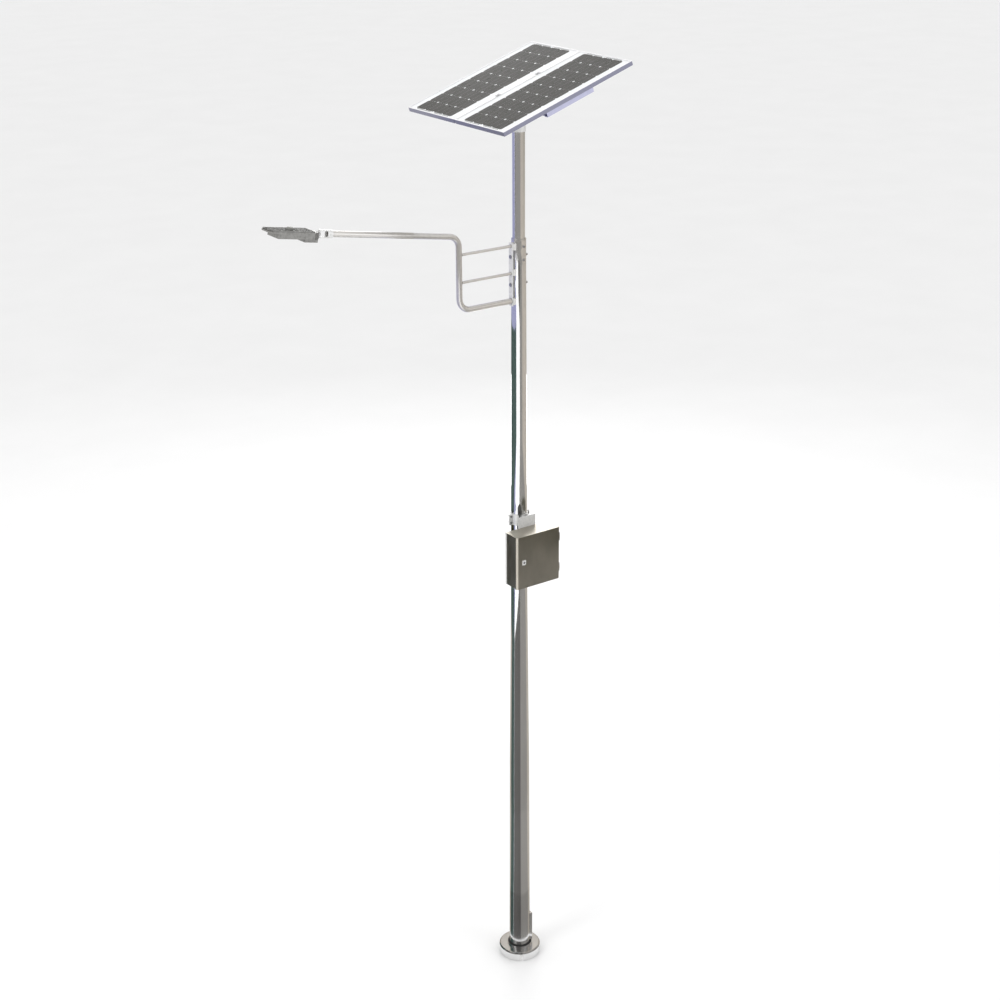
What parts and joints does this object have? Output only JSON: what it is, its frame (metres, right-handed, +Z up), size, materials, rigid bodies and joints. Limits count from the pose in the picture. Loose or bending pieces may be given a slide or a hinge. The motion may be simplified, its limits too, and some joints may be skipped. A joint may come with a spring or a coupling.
{
  "type": "solar street lamp",
  "caption": "Pole-mounted solar street lamp: conical steel pole, bent side arm with a tilting LED head, pole-clamped battery box with a hinged door, and a tilting, turning solar array on top.",
  "frame": {"origin": "centre of the base flange's lower face, where it meets the foundation", "axes": "+Z up along the pole, -X along the side arm, -Y out of the battery box door"},
  "size_m": [2.8672, 1.317, 8.2829],
  "materials": {
    "galvanised_pole": "polished galvanised",
    "galvanised_fittings": "galvanised",
    "arm_steel": "satin galvanised",
    "fasteners": "zinc plated",
    "box_paint": "satin olive-grey powder coat",
    "black_plastic": "matt",
    "rubber": "matt",
    "battery_case": "satin",
    "strap_webbing": "woven",
    "controller_case": "anodised dark",
    "head_casting": "bead-blasted casting",
    "circuit_board": "solder mask",
    "lens_clear": "clear",
    "photocell_cap": "matt",
    "subframe": "mill finish",
    "module_frame": "anodised",
    "laminate": "glass over dark cells"
  },
  "bodies": {
    "pole": {"base_flange": "galvanised_pole", "base_gussets": "galvanised_pole", "pole_foot": "galvanised_pole", "pole_tube": "galvanised_pole", "base_cover_left": "galvanised_pole", "base_cover_right": "galvanised_pole", "base_cover_straps": "galvanised_fittings", "base_seal": "rubber", "handhole_frame": "galvanised_pole", "handhole_lip": "galvanised_pole", "handhole_hinge": "galvanised_pole", "fuse_board": "black_plastic", "pole_cap": "galvanised_pole", "upper_post": "galvanised_pole", "pole_bolts": "fasteners", "box_clamps": "galvanised_fittings", "box_clamp_bolts": "fasteners", "box_body": "box_paint", "box_hinge_pins": "fasteners", "equipment_plate": "galvanised_fittings", "battery_tray": "galvanised_fittings", "battery_pack": "battery_case", "battery_strap": "strap_webbing", "charge_controller": "controller_case", "terminal_rail": "galvanised_fittings", "cable_glands": "black_plastic", "cable_cowl": "black_plastic", "cable_lead": "rubber", "arm_plate": "galvanised_fittings", "arm_tube": "arm_steel", "arm_rungs": "arm_steel", "spigot_yoke": "galvanised_fittings"},
    "handhole_door": {"handhole_door": "galvanised_pole"},
    "handhole_lock": {"handhole_lock": "fasteners"},
    "box_door": {"box_door": "box_paint", "box_door_gasket": "rubber", "lock_escutcheon": "galvanised_fittings"},
    "box_lock": {"lock_barrel": "fasteners"},
    "lamp_head": {"head_housing": "head_casting", "head_fins": "head_casting", "led_board": "circuit_board", "led_lenses": "lens_clear", "head_glass": "lens_clear", "head_gasket": "rubber", "led_driver": "controller_case", "photocell": "photocell_cap", "gear_latch": "black_plastic", "head_pivot_pin": "fasteners"},
    "gear_cover": {"gear_cover": "head_casting"},
    "turning_sleeve": {"post_sleeve": "galvanised_fittings", "sleeve_bolts": "fasteners", "tilt_pin": "fasteners"},
    "solar_array": {"tilt_bracket": "galvanised_fittings", "cross_beams": "subframe", "end_rails": "subframe", "module_frames": "module_frame", "laminate_left": "laminate", "laminate_right": "laminate", "junction_boxes": "black_plastic", "module_clamps": "fasteners"}
  },
  "joints": [
    {"name": "handhole_door_hinge", "type": "hinge", "parent": "pole", "child": "handhole_door", "pos_m": [0.103, 0.065, 0.252], "axis": [0, 0, 1], "range_deg": [0, 120]},
    {"name": "handhole_lock_turn", "type": "hinge", "parent": "handhole_door", "child": "handhole_lock", "pos_m": [0.101, -0.032, 0.252], "axis": [-1, 0, 0], "range_deg": [0, 90]},
    {"name": "box_door_hinge", "type": "hinge", "parent": "pole", "child": "box_door", "pos_m": [0.232, -0.262, 4.1465], "axis": [0, 0, 1], "range_deg": [0, 120]},
    {"name": "box_lock_turn", "type": "hinge", "parent": "box_door", "child": "box_lock", "pos_m": [-0.151, -0.285, 4.1465], "axis": [0, 1, 0], "range_deg": [0, 90]},
    {"name": "head_tilt", "type": "hinge", "parent": "pole", "child": "lamp_head", "pos_m": [-1.83342, 0, 7.15921], "axis": [0, 1, 0], "range_deg": [-15, 15]},
    {"name": "gear_cover_hinge", "type": "hinge", "parent": "lamp_head", "child": "gear_cover", "pos_m": [-1.96958, 0, 7.14477], "axis": [0, 1, 0], "range_deg": [0, 60]},
    {"name": "array_turn", "type": "hinge", "parent": "pole", "child": "turning_sleeve", "pos_m": [0, 0, 7.79], "axis": [0, 0, 1], "range_deg": [-180, 180]},
    {"name": "array_tilt", "type": "hinge", "parent": "turning_sleeve", "child": "solar_array", "pos_m": [0, 0, 7.941], "axis": [0, -1, 0], "range_deg": [-19, 26]}
  ]
}
